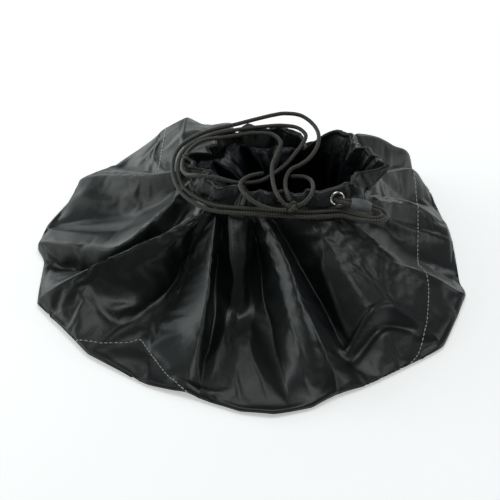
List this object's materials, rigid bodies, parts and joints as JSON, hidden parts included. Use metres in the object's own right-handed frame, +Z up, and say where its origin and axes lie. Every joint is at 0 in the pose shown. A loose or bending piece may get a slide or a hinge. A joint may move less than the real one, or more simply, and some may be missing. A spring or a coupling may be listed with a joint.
{
  "type": "film changing bag",
  "caption": "Light-tight lined cloth sack with a gathered drawstring mouth, eyelet and cord stop, lying collapsed on its base.",
  "frame": {"origin": "under the middle of the bag, on the surface that it lies on", "axes": "+Z up; the eyelet and the mouth's low side face -Y; +X to the right seen from -Y"},
  "size_m": [0.3545, 0.3304, 0.1057],
  "materials": {
    "outer_nylon": "coated black nylon, slightly glossy",
    "lining_nylon": "blue-black coated lining",
    "light_thread": "light grey sewing thread",
    "braided_cord": "braided polyester, olive black",
    "nickel": "bright nickel plate",
    "stop_plastic": "moulded dark grey plastic"
  },
  "bodies": {
    "bag": {"base_panel": "outer_nylon", "base_lining": "lining_nylon", "wall_panel_front_right": "outer_nylon", "wall_panel_back_right": "outer_nylon", "wall_panel_back_left": "outer_nylon", "wall_panel_front_left": "outer_nylon", "lining_wall": "lining_nylon", "front_seam": "outer_nylon", "right_seam": "outer_nylon", "back_seam": "outer_nylon", "left_seam": "outer_nylon", "base_seam_thread": "light_thread"},
    "mouth": {"mouth_casing": "outer_nylon", "hem_thread": "light_thread", "casing_cord": "braided_cord", "eyelet_flange": "nickel", "eyelet_patch": "outer_nylon", "eyelet_washer": "nickel", "drawcord_first_end": "braided_cord", "drawcord_second_end": "braided_cord", "drawcord_right_tail": "braided_cord", "drawcord_left_tail": "braided_cord", "end_knot": "braided_cord", "cord_tip_right": "braided_cord", "cord_tip_left": "braided_cord"},
    "stop": {"cord_stop": "stop_plastic"}
  },
  "joints": [
    {"name": "mouth_lift", "type": "slide", "parent": "bag", "child": "mouth", "axis": [0, 0, 1], "range_m": [0, 0.1], "deforming": ["wall_panel_front_right", "wall_panel_back_right", "wall_panel_back_left", "wall_panel_front_left", "lining_wall", "front_seam", "right_seam", "back_seam", "left_seam"]},
    {"name": "stop_slide", "type": "slide", "parent": "mouth", "child": "stop", "axis": [0.9504, 0, -0.3109], "range_m": [0, 0.003]}
  ]
}
